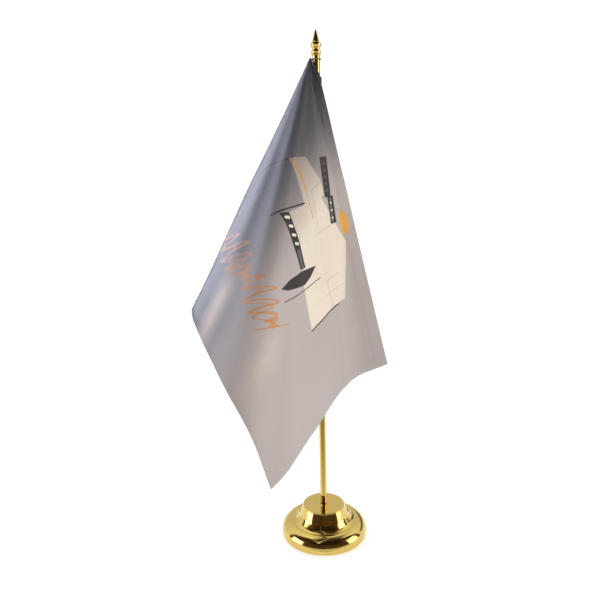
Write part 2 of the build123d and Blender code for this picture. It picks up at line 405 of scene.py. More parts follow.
# Painted shade: in the dark part of the ground the pale shapes are darkened as well: they go from
# CREAM_DARK to full colour over CREAM_RUN of the fade, from CREAM_FROM on.
CREAM_DARK, CREAM_FROM, CREAM_RUN = (0.33, 0.27, 0.23), 0.30, 0.33
INK, GREY, LINE = (0.016, 0.010, 0.009), (0.22, 0.20, 0.23), (0.34, 0.23, 0.14)
AMBER, ORANGE = (0.88, 0.50, 0.09), (0.70, 0.29, 0.05)
PAINTED_HIGHLIGHT = (0.92, 0.80, 0.73)
# Painted highlights, as pale streaks: how far each slants (across per down), where it would meet
# the top edge, its half width, how far down its middle is, its half length and its strength.
PAINTED_HIGHLIGHTS = [(0.62, 28.0, 5.0, 134, 18, 0.85), (0.46, 97.5, 5.5, 126, 16, 0.28)]
TOWER = [(55.5, 49.8), (57.9, 35.2), (75.4, 19.8), (86, 19.2), (85, 49.8)]
HALL = [
    (85, 67), (84.5, 24), (108.3, 11.1), (121.2, 6),
    (134, 8.8), (159.2, 16.3), (159.4, 72), (137.5, 71.8),
]
LONG_SIGN = [(83.4, 72.9), (84.9, 66.7), (120.8, 63.8), (120, 70.9)]
TALL_SIGN = [(61.8, 15.4), (63.1, 7.8), (89.1, 11.5), (88.1, 18.6)]
LOW_SIGN = [(88, 15.6), (88.9, 9.4), (106.9, 10.6), (106.6, 16.9)]
LEAF = [(124.6, 49.5), (128.6, 60), (130, 70), (126.6, 88), (123.6, 94), (121.4, 84), (121, 70)]


class Print:
    """Shapes printed on the cloth, measured on it while it is flat."""

    def __init__(self, paint, across, down):
        self.paint, self.across, self.down = paint, across, down

    def edge(self, start, end):
        """Distance to the right-hand side of the line from start to end."""
        along = Vector((end[0] - start[0], end[1] - start[1])).normalized()
        reach = (self.across - start[0]) * along.y
        return reach - (self.down - start[1]) * along.x

    def polygon(self, corners):
        """1 inside a convex outline."""
        sides = zip(corners, corners[1:] + corners[:1])
        turning = sum(a[0] * b[1] - b[0] * a[1] for a, b in sides)
        corners = corners if turning < 0 else corners[::-1]
        depth = None
        for start, end in zip(corners, corners[1:] + corners[:1]):
            here = self.edge(start, end)
            depth = here if depth is None else depth.least(here)
        return depth.inside()

    def stroke(self, start, end, width):
        """1 on a straight round-ended line."""
        run = Vector((end[0] - start[0], end[1] - start[1]))
        dx, dy = self.across - start[0], self.down - start[1]
        share = ((dx * run.x + dy * run.y) / run.length_squared).clamped()
        ox, oy = dx - share * run.x, dy - share * run.y
        return ((ox * ox + oy * oy).math("SQRT") * -1 + width / 2).inside()

    def oval(self, centre, half_across, half_down):
        """1 inside an ellipse."""
        dx, dy = (self.across - centre[0]) / half_across, (self.down - centre[1]) / half_down
        return (((dx * dx + dy * dy).math("SQRT") * -1 + 1) * min(half_across, half_down)).inside()

    def bow(self, start, through, end, width):
        """1 on a circle's line from start, through a point, to end."""
        centre = circle_centre(start, through, end)
        radius = math.hypot(start[0] - centre[0], start[1] - centre[1])
        dx, dy = self.across - centre[0], self.down - centre[1]
        off = ((dx * dx + dy * dy).math("SQRT") - radius).size() * -1 + width / 2
        chord = self.edge(start, end)
        near_side = self.side_of(start, end, through)
        return off.least(chord * near_side).inside()

    def side_of(self, start, end, point):
        """1 or -1: the side of the line from start to end that a point is on."""
        along = Vector((end[0] - start[0], end[1] - start[1]))
        return 1 if (point[0] - start[0]) * along.y - (point[1] - start[1]) * along.x > 0 else -1

    def flourish(self, left, right, level, height, wave, width):
        """1 on a wavy pen stroke that swells and slants as it runs."""
        run = self.across - left
        slanted = run + (self.down - level) * 0.35
        swing = (slanted * (math.tau / wave)).math("SINE")
        middle = swing * (run * 0.09).math("SINE").size() * height + level
        slope = (slanted * (math.tau / wave)).math("COSINE").size() * (height * 3.2 / wave) + 1
        off = (self.down - middle).size() / slope * -1 + width / 2
        ends = run.least(self.across * -1 + right)
        return off.least(ends).inside()


# The fade runs on a slant, and FADE_LENGTH millimetres of it along the top edge are 1.
FADE_SLANT, FADE_LENGTH = 0.4, 130
# The fade's colours: part print, part painted shade, darkest at the top corner.
FADE_COLOURS = [
    (0.0, (0.022, 0.023, 0.033)), (0.15, (0.045, 0.045, 0.058)), (0.27, (0.085, 0.083, 0.098)),
    (0.34, (0.150, 0.143, 0.155)), (0.43, (0.270, 0.253, 0.258)), (0.50, (0.385, 0.356, 0.357)),
    (0.60, (0.530, 0.486, 0.480)), (0.70, (0.590, 0.540, 0.529)), (1.0, (0.560, 0.514, 0.505)),
]


def fade_at(across, down):
    """How far the ground colour and the shapes on it have faded from dark to light: part print,
    part painted shade.
    """
    return (across - down * FADE_SLANT) / FADE_LENGTH


def dye_and_painted_light(paint, across, down):
    """The ground colour, which fades from slate at the top corner to warm grey, part print and part
    painted shade, with painted highlights on it.
    """
    grain = paint.noise(60.0, 3.0)
    fade = fade_at(across, down) + (grain - 0.5) * 0.03
    colour = paint.ramp(fade, FADE_COLOURS)
    # Painted highlights: pale streaks laid over the ground colour.
    for ratio, middle, half, reach, reach_half, strength in PAINTED_HIGHLIGHTS:
        beside = hump(across - down * ratio, middle, half, half * 1.8)
        near = hump(down, reach, reach_half, reach_half * 1.2)
        colour = paint.mix(beside * near * strength, colour, PAINTED_HIGHLIGHT)
    return colour


def flag_print_and_shade(paint, across, down):
    """The flag's printed colours, with painted shade and painted highlights."""
    shapes = Print(paint, across, down)
    colour = dye_and_painted_light(paint, across, down)
    warmth = paint.noise(160.0, 3.0)
    cream = paint.mix(warmth * 0.35, CREAM, CREAM_SHADE)
    # Painted shade: the pale shapes darken with the fade towards the top corner.
    lit = ((fade_at(across, down) - CREAM_FROM) / CREAM_RUN).clamped()
    cream = paint.mix(lit, CREAM_DARK, cream)
    layers = [
        (shapes.bow((56.2, 49.8), (51.3, 68), (56.2, 81.5), 1.1), INK),
        (shapes.polygon(TOWER), cream),
        (shapes.polygon(HALL), cream),
        (shapes.stroke((58.5, 47.6), (75.5, 43.6), 2.2) * 0.7, ORANGE),
        (shapes.stroke((75.5, 43.6), (96, 41), 1.0) * 0.7, ORANGE),
        (shapes.stroke((77, 20), (79, 36), 0.4) * 0.6, LINE),
        (shapes.stroke((79, 36), (104, 36), 0.4) * 0.6, LINE),
        (shapes.stroke((107, 37), (107, 18), 0.4) * 0.5, LINE),
        (shapes.stroke((140, 36), (140, 18), 0.5) * 0.5, LINE),
        (shapes.stroke((140, 36), (159, 34), 0.5) * 0.5, LINE),
        (shapes.stroke((149, 42), (149, 14), 0.4) * 0.4, LINE),
        (shapes.oval((108.6, 5.1), 8.3, 2.8), AMBER),
        (shapes.polygon(LONG_SIGN), INK),
        (shapes.stroke((109, 68.4), (119.5, 67.3), 3.2) * 0.55, GREY),
        (shapes.polygon(TALL_SIGN), INK),
        (shapes.polygon(LOW_SIGN), INK),
        (shapes.stroke((90.5, 12.6), (105, 13.8), 2.6) * 0.5, GREY),
        (shapes.polygon(LEAF), INK),
        (shapes.stroke((131.5, 94), (134, 46), 0.6), INK),
        (shapes.stroke((160, 72), (160, 26), 0.9), INK),
        (shapes.stroke((82, 78), (84, 49), 1.0), INK),
    ]
    for k in range(4):
        start, end = (87 + 5.6 * k, 70.4 - 0.45 * k), (87.9 + 5.6 * k, 68.3 - 0.45 * k)
        layers.append((shapes.stroke(start, end, 1.8), CREAM))
    for k in range(5):
        layers.append((shapes.oval((67 + 4.3 * k, 12 + 0.65 * k), 1.0, 1.5) * 0.35, GREY))
    for k in range(3):
        layers.append((shapes.oval((93 + 5.0 * k, 12.8 + 0.4 * k), 0.9, 1.2) * 0.7, CREAM))
    layers += [
        (shapes.flourish(69, 141, 108, 10.5, 8.4, 1.7) * 0.7, ORANGE),
        (shapes.flourish(74, 139, 111, 7.0, 11.2, 1.3) * 0.55, ORANGE),
        (shapes.stroke((137, 120), (144, 97), 1.0) * 0.6, ORANGE),
    ]
    for mask, ink in layers:
        colour = paint.mix(mask, colour, ink)
    return colour


# Pitch of the weave in millimetres, and the share of light let through.
WARP_PITCH, WEFT_PITCH = 0.42, 0.34
LIGHT_THROUGH = 0.30


def satin(name, printed):
    """Light satin polyester: a fine weave, a soft shine, plain or printed colour with painted shade
    and highlights, and translucent.
    """
    paint = Paint(name, Sheen_Weight=0.05, Sheen_Roughness=0.3, Specular_IOR_Level=0.45)
    u, v, _ = paint.split(paint.coordinates("UV"))
    across, down = u * FLY, v * HOIST
    warp = (across * (math.tau / WARP_PITCH)).math("SINE")
    weft = (down * (math.tau / WEFT_PITCH)).math("SINE")
    weave = warp * weft * 0.5 + 0.5
    stretched = paint.node("ShaderNodeCombineXYZ", {0: across * 0.35, 1: down * 6.0}).outputs[0]
    slub = paint.noise(1.0, 3.0, stretched)
    # The colour holds painted shade and painted highlights.
    colour = (flag_print_and_shade if printed else dye_and_painted_light)(paint, across, down)
    colour = paint.mix(weave * 0.02, colour, (0.9, 0.88, 0.88))
    colour = paint.mix(slub * 0.05, colour, (0.1, 0.1, 0.1))
    rough = paint.between(slub, 0.40, 0.47)
    normal = paint.bump(weave, 0.02)
    normal = paint.bump(slub, 0.03, normal)
    through = paint.node("ShaderNodeBsdfTranslucent", {"Color": colour, "Normal": normal})
    both = paint.node("ShaderNodeMixShader", {0: LIGHT_THROUGH, 2: through.outputs[0]})
    paint.tree.links.new(paint.shader.outputs[0], both.inputs[1])
    paint.tree.links.new(both.outputs[0], paint.tree.nodes["Material Output"].inputs[0])
    return paint.feed(Base_Color=colour, Roughness=rough, Normal=normal)


# ------------------------------------------------------------------ stand

def base_shell():
    """Spun two-tier cover, with a rolled foot and soft corners."""
    roll_top = RIM_LIFT + 0.5
    foot = arc((FOOT_R - 0.45, RIM_LIFT), (FOOT_R - 0.1, RIM_LIFT + 0.15), (FOOT_R, roll_top), 5)
    band = [(FOOT_R, roll_top + 0.6 * k) for k in range(1, 6)]
    shoulder = arc((FOOT_R, FOOT_BAND_H), (SHOULDER_R, SHOULDER_H), (COVE_R, COVE_H), 22)
    waist = (HUB_R + 2.0, HUB_H - 5.6)
    cove = arc((COVE_R, COVE_H), (HUB_R + 4.1, COVE_H + 2.1), waist, 18)
    side = [(waist[0] + (HUB_R - waist[0]) * k / 8, waist[1] + 5.15 * k / 8) for k in range(1, 8)]
    crown = arc((HUB_R, HUB_H - 0.45), (HUB_R - 0.1, HUB_H - 0.14), (HUB_R - 0.45, HUB_H), 5)
    flat = [(HUB_R - 0.6 - 2.0 * k, HUB_H) for k in range(6)]
    hole_r = POLE_R + 0.05
    hole = arc((hole_r + 0.25, HUB_H), (hole_r + 0.07, HUB_H - 0.07), (hole_r, HUB_H - 0.25), 3)
    inside_top = HUB_H - SHELL_WALL
    inside = [(hole_r, inside_top), (HUB_R - 1.3, inside_top), (waist[0] - SHELL_WALL, waist[1])]
    inside += [(COVE_R - 0.3, COVE_H - SHELL_WALL), (SHOULDER_R - 0.7, SHOULDER_H - 0.8)]
    inside += [(FOOT_R - SHELL_WALL, FOOT_BAND_H), (FOOT_R - SHELL_WALL, RIM_LIFT)]
    outline = foot + band + shoulder + cove[1:] + side + crown + flat + hole + inside
    return lathe("base_shell_spun", outline, around=256)


def felt_pad():
    """Felt disc with a soft cut edge."""
    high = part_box("felt_pad")[1]
    r, top = high.x / MM, high.z / MM
    rings = [(r * k / 14, 0.0) for k in range(14)]
    edge = arc((r - 0.35, 0.0), (r - 0.08, 0.12), (r, 0.4), 4)
    return lathe("felt_pad_disc", rings + edge + [(r, top), (0, top)], around=128, closed=False)


# ------------------------------------------------------------------ pole and finial

def pole_tube():
    """Plated tube with softened ends."""
    bore = POLE_R - POLE_WALL
    foot = [(bore, POLE_FOOT), (POLE_R - TUBE_EDGE, POLE_FOOT), (POLE_R, POLE_FOOT + TUBE_EDGE)]
    side = [(POLE_R, POLE_FOOT + (POLE_TOP - POLE_FOOT) * k / 40) for k in range(1, 40)]
    top = [(POLE_R, POLE_TOP - TUBE_EDGE), (POLE_R - TUBE_EDGE, POLE_TOP), (bore, POLE_TOP)]
    return lathe("pole_tube_plated", foot + side + top, around=64)


def finial_body():
    """Turned spearhead: bead, groove, swelling, a slim cone and a blunt tip.

    The bead and swelling are slimmer than the CAD's, to follow the photograph.
    """
    low, tip, full_r = FINIAL_LOW, FINIAL_TIP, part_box("finial_body")[1].x / MM - 0.005
    blunt = 0.45
    bead = arc((full_r - 1.2, low), (full_r - 0.45, low + 1.4), (full_r - 1.1, low + 2.8), 12)
    groove = arc((full_r - 1.1, low + 2.8), (full_r - 1.3, low + 3.3), (full_r - 1.1, low + 3.8), 6)
    swell = arc((full_r - 1.1, low + 3.8), (full_r - 0.2, low + 5.4), (2.45, low + 7.8), 14)
    cone = arc((2.45, low + 7.8), (1.45, low + 11.3), (blunt, tip - blunt), 16)
    cap = arc((blunt, tip - blunt), (blunt * 0.707, tip - blunt * 0.293), (0, tip), 5)
    pin_hole = [(0, low + 4.5), (FINIAL_HOLE_R, low + 4.5), (FINIAL_HOLE_R, low)]
    outline = pin_hole + bead + groove[1:] + swell[1:] + cone[1:] + cap[1:]
    return lathe("finial_spear", outline, around=96, closed=False)


def finial_collar():
    """Thin plate under the finial, with a rounded rim."""
    low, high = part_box("finial_collar")
    r, bottom, top = high.x / MM, low.z / MM, high.z / MM
    rim = arc((r - 0.3, bottom), (r, (bottom + top) / 2), (r - 0.3, top), 8)
    outline = [(COLLAR_HOLE_R, bottom)] + rim + [(COLLAR_HOLE_R, top)]
    return lathe("finial_collar_plate", outline, around=96)


# ------------------------------------------------------------------ flag

def lean_at(turn):
    """Lean in radians at a turn in degrees: a smooth curve through LEANS."""
    spot = turn / LEAN_STEP
    i = min(int(spot), len(LEANS) - 2)
    t = spot - i
    before = LEANS[i - 1] if i else 2 * LEANS[0] - LEANS[1]
    start, end = LEANS[i], LEANS[i + 1]
    after = LEANS[i + 2] if i + 2 < len(LEANS) else 2 * end - start
    slope_in, slope_out = (end - before) / 2, (after - start) / 2
    bend_in = 3 * (end - start) - 2 * slope_in - slope_out
    bend_out = slope_in + slope_out - 2 * (end - start)
    return math.radians(start + t * (slope_in + t * (bend_in + t * bend_out)))


def hang():
    """Bearings in radians at every HANG_STEP degrees of turn: the cloth doesn't stretch."""
    seam = math.radians(SEAM_BEARING)
    turns = [HANG_STEP * k for k in range(round(90 / HANG_STEP) + 1)]
    bearings = [seam]
    step = math.radians(HANG_STEP)
    for a, b in zip(turns, turns[1:]):
        rise = (lean_at(b) - lean_at(a)) / step
        sideways = math.sqrt(max(1 - rise * rise, 0))
        pole_share = SEAM_R / MIDDLE_REACH if bearings[-1] > seam + math.pi / 2 else 0
        level = max(math.sin((lean_at(a) + lean_at(b)) / 2), 0.02)
        bearings.append(bearings[-1] + step * sideways / (pole_share + level))
    return bearings


BEARINGS = hang()


def bearing_at(turn):
    """Bearing in radians at a turn in degrees."""
    spot = turn / HANG_STEP
    i = min(int(spot), len(BEARINGS) - 2)
    return BEARINGS[i] + (BEARINGS[i + 1] - BEARINGS[i]) * (spot - i)


# Soft folds on top of the drape: (turn at the corner end, turn at FOLD_END from the
# corner, width in degrees, height in millimetres at FOLD_REACH from the corner).
FOLD_END, FOLD_REACH = 220, 200
# Near the lower hem they calm down to FOLD_LEFT of their height, over FOLD_CALM.
FOLD_LEFT, FOLD_CALM = 0.45, 45
FOLDS = [
    (39.0, 39.4, 2.6, 2.2), (44.5, 45.0, 3.2, -1.0), (55.0, 51.0, 4.5, 0.7),
    (66.0, 63.0, 4.5, -0.4), (12.0, 13.0, 4.0, 1.2), (22.0, 20.0, 3.0, -0.9),
]


def fold_height(turn, reach):
    """How far the soft folds push the cloth out along its normal."""
    height = 0.0
    for near_turn, far_turn, width, tall in FOLDS:
        here = near_turn + (far_turn - near_turn) * min(reach / FOLD_END, 1)
        height += tall * math.exp(-(((turn - here) / width) ** 2))
    to_hem = HOIST - reach * math.cos(math.radians(turn))
    calm = FOLD_LEFT + 0.55 * min(max(to_hem, 0) / FOLD_CALM, 1)
    return height * min(reach / FOLD_REACH, 1.2) * calm


def cloth_point(across, down):
    """Where a point of the flat cloth hangs, without the soft folds."""
    reach = math.hypot(across, down)
    turn = math.degrees(math.atan2(across, down))
    bearing = bearing_at(turn)
    lean = lean_at(turn)
    seam = math.radians(SEAM_BEARING)
    wrap = WRAP_SOFT * math.log1p(math.exp((bearing - seam - math.pi / 2) / WRAP_SOFT))
    used = SEAM_R * wrap / math.sin(WRAP_LEAN)
    share = min(reach / used, 1.0) if used > 1e-6 else 1.0
    free = max(reach - used, 0.0)
    at = seam + wrap * share
    drop = SEAM_R * wrap / math.tan(WRAP_LEAN) * share
    level = free * math.sin(lean)
    x = SEAM_R * math.cos(at) + level * math.cos(bearing)
    y = SEAM_R * math.sin(at) + level * math.sin(bearing)
    return Vector((x, y, CORNER_TOP - drop - free * math.cos(lean)))


def eased(across, down):
    """The same, bending softly where the cloth starts to wind round the pole."""
    reach, turn = math.hypot(across, down), math.degrees(math.atan2(across, down))
    blur = min(EASE_MOST, (turn - EASE_FROM) * 0.8, (90 - turn) * 0.85)
    if blur < 0.4:
        return cloth_point(across, down)
    middle = Vector()
    for spot, weight in EASE_WEIGHTS:
        a = math.radians(turn + blur * spot)
        middle += cloth_point(reach * math.sin(a), reach * math.cos(a)) * weight
    from_axis = math.hypot(middle.x, middle.y)
    if from_axis < EASE_CLEAR:
        middle.x, middle.y = middle.x * EASE_CLEAR / from_axis, middle.y * EASE_CLEAR / from_axis
    return middle


# The drape has no direction at its very corner, so nothing is worked out closer to the
# edges than EDGE_GAP.  Normals come from points NORMAL_STEP away on each side.
EDGE_GAP, NORMAL_STEP = 0.02, 0.6
# A fine ripple: noise per millimetre, height, and how far from the corner it is full.
RIPPLE_SCALE, RIPPLE_H, RIPPLE_FULL = 0.03, 0.5, 60


def hung(across, down):
    """Where a point of the cloth hangs, and the outward normal there."""
    here = eased(across, down)
    a0, a1 = max(across - NORMAL_STEP, EDGE_GAP), min(across + NORMAL_STEP, FLY)
    d0, d1 = max(down - NORMAL_STEP, EDGE_GAP), min(down + NORMAL_STEP, HOIST)
    along = eased(a1, down) - eased(a0, down)
    below = eased(across, d1) - eased(across, d0)
    normal = below.cross(along).normalized()
    turn, reach = math.degrees(math.atan2(across, down)), math.hypot(across, down)
    ripple = noise.noise(Vector((across * RIPPLE_SCALE, down * RIPPLE_SCALE, 7.3)))
    ripple = ripple * min(reach / RIPPLE_FULL, 1) * RIPPLE_H
    return here + normal * (fold_height(turn, reach) + ripple), normal


def graded(length, coarse, fine_until, hem_at_start):
    """Grid lines along one side of the cloth: close near the corner and at the hems."""
    lines = [0.0]
    while lines[-1] < length - HEM_W - 0.2:
        step = 0.6 if lines[-1] < fine_until else coarse
        lines.append(lines[-1] + step)
    lines = [value for value in lines if value < length - HEM_W - 1.2]
    lines += [length - HEM_W - 0.9, length - HEM_W, length - HEM_W / 2, length - 0.2, length]
    if hem_at_start:
        lines = [v for v in lines if not 0.01 < v < 0.4 and not HEM_W - 0.4 < v < HEM_W + 0.5]
        lines += [0.2, HEM_W, HEM_W + 0.25]
    return sorted(lines)


def flag_cloth():
    """The printed cloth, one sheet with turned hems on its three free edges."""
    across_lines = graded(FLY, coarse=1.7, fine_until=9.0, hem_at_start=False)
    down_lines = graded(HOIST, coarse=1.6, fine_until=9.0, hem_at_start=True)
    wide, tall = len(across_lines), len(down_lines)
    middle, normals, uvs, half = [], [], [], []
    for down in down_lines:
        for across in across_lines:
            point, normal = hung(max(across, EDGE_GAP), max(down, EDGE_GAP))
            in_hem = across >= FLY - HEM_W or down >= HOIST - HEM_W or down <= HEM_W
            at_rim = across >= FLY - 0.1 or down >= HOIST - 0.1 or down <= 0.1
            middle.append(point)
            normals.append(normal)
            uvs.append((across / FLY, down / HOIST))
            half.append((HEM_T if in_hem else CLOTH_T) / 2 * (RIM_SHARE if at_rim else 1.0))
    outer = [p + n * h for p, n, h in zip(middle, normals, half)]
    inner = [p - n * h for p, n, h in zip(middle, normals, half)]
    points, count = outer + inner, len(outer)
    faces = []
    for j in range(tall - 1):
        for i in range(wide - 1):
            a, b = j * wide + i, j * wide + i + 1
            c, d = b + wide, a + wide
            faces += [[a, d, c, b], [a + count, b + count, c + count, d + count]]
    rim = list(range(wide)) + [j * wide + wide - 1 for j in range(1, tall)]
    rim += [(tall - 1) * wide + i for i in range(wide - 2, -1, -1)]
    rim += [j * wide for j in range(tall - 2, 0, -1)]
    for a, b in zip(rim, rim[1:] + rim[:1]):
        faces.append([a, b, b + count, a + count])
    return add_mesh("flag_cloth_printed", points, faces, uvs + uvs, sharp_above=70)


def hem_stitches():
    """Short thread stitches along the three hems, on both faces of the cloth."""
    pitch, length, radius, inset = 3.2, 2.3, 0.11, HEM_W - 0.9
    fly, foot = FLY - inset, HOIST - inset
    rows = [((4, inset), (fly, inset)), ((fly, inset), (fly, foot)), ((fly, foot), (1, foot))]
    parts, uvs = [], []
    for (a0, d0), (a1, d1) in rows:
        run = math.hypot(a1 - a0, d1 - d0)
        for k in range(int(run / pitch)):
            for face in (-1, 1):
                path = []
                for t in STITCH_SPOTS:
                    s = ((k + 0.5) * pitch + t * length) / run
                    point, normal = hung(a0 + (a1 - a0) * s, d0 + (d1 - d0) * s)
                    proud = HEM_T / 2 + (0.0 if abs(t) < 0.45 else -0.12)
                    path.append(point + normal * face * proud)
                parts.append(tube_along(path, radius, 6))
                middle = (k + 0.5) * pitch / run
                at = ((a0 + (a1 - a0) * middle) / FLY, (d0 + (d1 - d0) * middle) / HOIST)
                uvs += [at] * len(parts[-1][0])
    return add_mesh("hem_stitches", *join_parts(parts), uvs)


def sleeve_radius(angle, height, wall):
    """The sleeve's radius: it sags into shallow wrinkles between pole and seam."""
    wrinkle = noise.noise(Vector((math.cos(angle) * 1.3, math.sin(angle) * 1.3, height * 0.11)))
    return SLEEVE_R + wall + 0.12 * wrinkle * (1 if wall else 0.4) + 0.05


def pole_sleeve():
    """Cloth tube round the pole, with turned ends and the doubled seam."""
    around, rows = 56, 120
    seam = math.radians(SEAM_BEARING)
    points, faces, uvs = [], [], []
    for wall in (SLEEVE_WALL, 0.0):
        for j in range(rows + 1):
            z = SLEEVE_FOOT + (SLEEVE_TOP - SLEEVE_FOOT) * j / rows
            lip = 0.12 if wall and 0 < min(j, rows - j) < 4 else 0.0
            for k in range(around):
                a = seam + math.tau * k / around
                off_seam = min(k, around - k) / around * math.tau
                reach = sleeve_radius(a, z, wall) + lip
                if wall and off_seam < 0.5:
                    reach += 0.35 * (1 - off_seam / 0.5) ** 2
                points.append((reach * math.cos(a), reach * math.sin(a), z))
                uvs.append((off_seam * SLEEVE_R / FLY, (CORNER_TOP - z) / HOIST))
    layer = around * (rows + 1)
    for j in range(rows):
        for k in range(around):
            n = (k + 1) % around
            a, b = j * around + k, j * around + n
            c, d = b + around, a + around
            faces += [[a, b, c, d], [a + layer, d + layer, c + layer, b + layer]]
    for k in range(around):
        n, top = (k + 1) % around, rows * around
        faces.append([n, k, k + layer, n + layer])
        faces.append([top + k, top + n, top + n + layer, top + k + layer])
    return add_mesh("pole_sleeve_cloth", points, faces, uvs, sharp_above=60)


def sleeve_stitches():
    """A row of stitches on each face of the sleeve's seam."""
    pitch, length, radius = 3.0, 2.2, 0.13
    seam = math.radians(SEAM_BEARING)
    out = Vector((math.cos(seam), math.sin(seam), 0))
    side = Vector((-math.sin(seam), math.cos(seam), 0))
    parts = []
    for k in range(int((SLEEVE_TOP - SLEEVE_FOOT) / pitch)):
        z = SLEEVE_FOOT + (k + 0.5) * pitch
        for face in (-1, 1):
            path = []
            for t in STITCH_SPOTS:
                proud = 0.30 if abs(t) < 0.45 else 0.12
                height = Vector((0, 0, z + t * length))
                path.append(out * (SEAM_R + 1.1) + side * face * proud + height)
            parts.append(tube_along(path, radius, 6))
    return add_mesh("sleeve_stitches", *join_parts(parts))


def hanging_loop():
    """Two-strand cord round the pole under the finial, tied into the top corner."""
    strand_r, twist_r, turns, steps, tail_steps = 0.19, 0.16, 14, 220, 12
    low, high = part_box("hanging_loop")
    level = (low.z + high.z) / 2 / MM
    loop_r = POLE_R + 0.5
    seam = math.radians(SEAM_BEARING)
    parts = []
    for strand in (0, 1):
        path = []
        for k in range(steps):
            a = math.tau * k / steps
            phase = a * turns + strand * math.pi
            r, z = loop_r + twist_r * math.cos(phase), level + twist_r * math.sin(phase)
            path.append(Vector((r * math.cos(seam + a), r * math.sin(seam + a), z)))
        parts.append(tube_along(path, strand_r, 8, closed=True))
        tail = []
        for k in range(tail_steps + 1):
            share = k / tail_steps
            phase = share * math.tau + strand * math.pi
            r = loop_r + (SEAM_R + 0.9 - loop_r) * share
            side, rise = twist_r * math.cos(phase), twist_r * math.sin(phase)
            tail.append(Vector((r * math.cos(seam) - side * math.sin(seam),
                                r * math.sin(seam) + side * math.cos(seam), level + rise)))
        parts.append(tube_along(tail, strand_r, 8))
    return add_mesh("hanging_loop_cord", *join_parts(parts))


# ------------------------------------------------------------------ room

FLOOR_Z = -0.02


def floor():
    """Plain pale floor, that is bright enough to run into the background."""
    paint = Paint("floor_paper", Roughness=0.9, Emission_Strength=0.75)
    grain = paint.noise(30.0, 3.0)
    shade = paint.mix(grain, (0.86, 0.86, 0.86), (0.88, 0.88, 0.88))
    material = paint.feed(Base_Color=shade, Emission_Color=shade)
    rings = [(r, FLOOR_Z) for r in (0, 200, 1500, 9000)]
    piece = lathe("floor", rings, around=64, closed=False)
    piece.data.materials.append(material)


# What the panels light: the flag's pieces and nothing else.
SATIN_THINGS = bpy.data.collections.new("satin_things")
PANEL_AIM = Vector((-20, -30, 220)) * MM


def shine(name, bearing, climb, far_mm, size_mm, glow, colour, as_light=False):
    """A panel on the flag alone, at a bearing from the front and a climb, in degrees.

    It gives the satin highlights only, or with as_light it gives diffuse light only.
    """
    data = bpy.data.lights.new(name, "AREA")
    data.shape, data.size, data.size_y = "RECTANGLE", size_mm[0] * MM, size_mm[1] * MM
    data.energy, data.color = glow * math.pi * data.size * data.size_y, colour
    panel = bpy.data.objects.new(name, data)
    bpy.context.scene.collection.objects.link(panel)
    b, c = math.radians(bearing), math.radians(climb)
    out = Vector((math.sin(b) * math.cos(c), -math.cos(b) * math.cos(c), math.sin(c)))
    panel.location = PANEL_AIM + out * far_mm * MM
    panel.rotation_euler = out.to_track_quat("Z", "Y").to_euler()
    panel.visible_camera = False
    panel.visible_diffuse, panel.visible_glossy = as_light, not as_light
    panel.light_linking.receiver_collection = SATIN_THINGS


TABLE_NEAR, TABLE_FADE = 34, 400  # how far in front it starts, and the length it dims over


def table_shadow():
    """The table in front as polished metal mirrors it: a glowing card that only reflections see, a
    painted reflection of the shaded table, dimmer further from the stand.
    """
    x0, x1, y0, y1 = -300, 300, -460, -TABLE_NEAR
    corners = [(x0, y0, 1), (x1, y0, 1), (x1, y1, 1), (x0, y1, 1)]
    card = add_mesh("table_shadow", corners, [[0, 1, 2, 3]])
    paint = Paint("table_shadow", Roughness=1.0, Specular_IOR_Level=0.0, Emission_Strength=1.0)
    paint.shader.inputs["Base Color"].default_value = (0, 0, 0, 1)
    away = paint.split(paint.coordinates())[1] * (-1 / MM)
    shade = paint.ramp((away - TABLE_NEAR) / TABLE_FADE + (paint.noise(8.0, 2.0) - 0.5) * 0.05, [
        (0.0, (0.78, 0.76, 0.72)), (0.10, (0.70, 0.67, 0.62)), (0.25, (0.42, 0.39, 0.35)),
        (0.60, (0.30, 0.27, 0.24)), (1.0, (0.20, 0.18, 0.16)),
    ])
    # Painted reflection: the card glows, and only reflections see it.
    card.data.materials.append(paint.feed(Emission_Color=shade))
    card.visible_camera = card.visible_diffuse = card.visible_shadow = False
    card.visible_transmission = False


class Room(Paint):
    """The same node tools, on the world's background."""

    def __init__(self, world):
        self.tree = world.node_tree
        self.shader = self.tree.nodes["Background"]


WALLS, BACK_WALL, CEILING = (1.10, 1.10, 1.12), (0.78, 0.77, 0.76), (1.15, 1.15, 1.15)
BACKDROP = (1.1, 1.1, 1.1)  # what the camera sees behind the stand
DARK_SIDE, DARK_SIDE_PALE = (0.030, 0.018, 0.012), (0.13, 0.075, 0.045)
# Zones of the room, each as two bands of (middle, half width, softness): the first of
# bearing, in radians from the front, the second of climb, in radians above level.
DARK_FRONT = ((-0.25, 1.4, 0.3), (0.3, 0.85, 0.3))
DARK_OVERHEAD = ((-0.1, 1.75, 0.3), (0.95, 0.35, 0.25))
DARK_BACK_RIGHT = ((2.4, 0.45, 0.2), (0.24, 0.12, 0.1))
# This one's bands are of the direction's share to the right and to the back instead.
DARK_STRIP = ((0.14, 0.26, 0.18), (-1.0, 1.45, 0.3))
# bearing of the middle, half width, lowest and highest climb, light
WINDOWS = [
    (-1.34, 0.27, -0.1, 0.48, (3.6, 4.0, 4.6)),
    (1.36, 0.24, -0.1, 0.62, (3.9, 3.6, 3.3)),
]


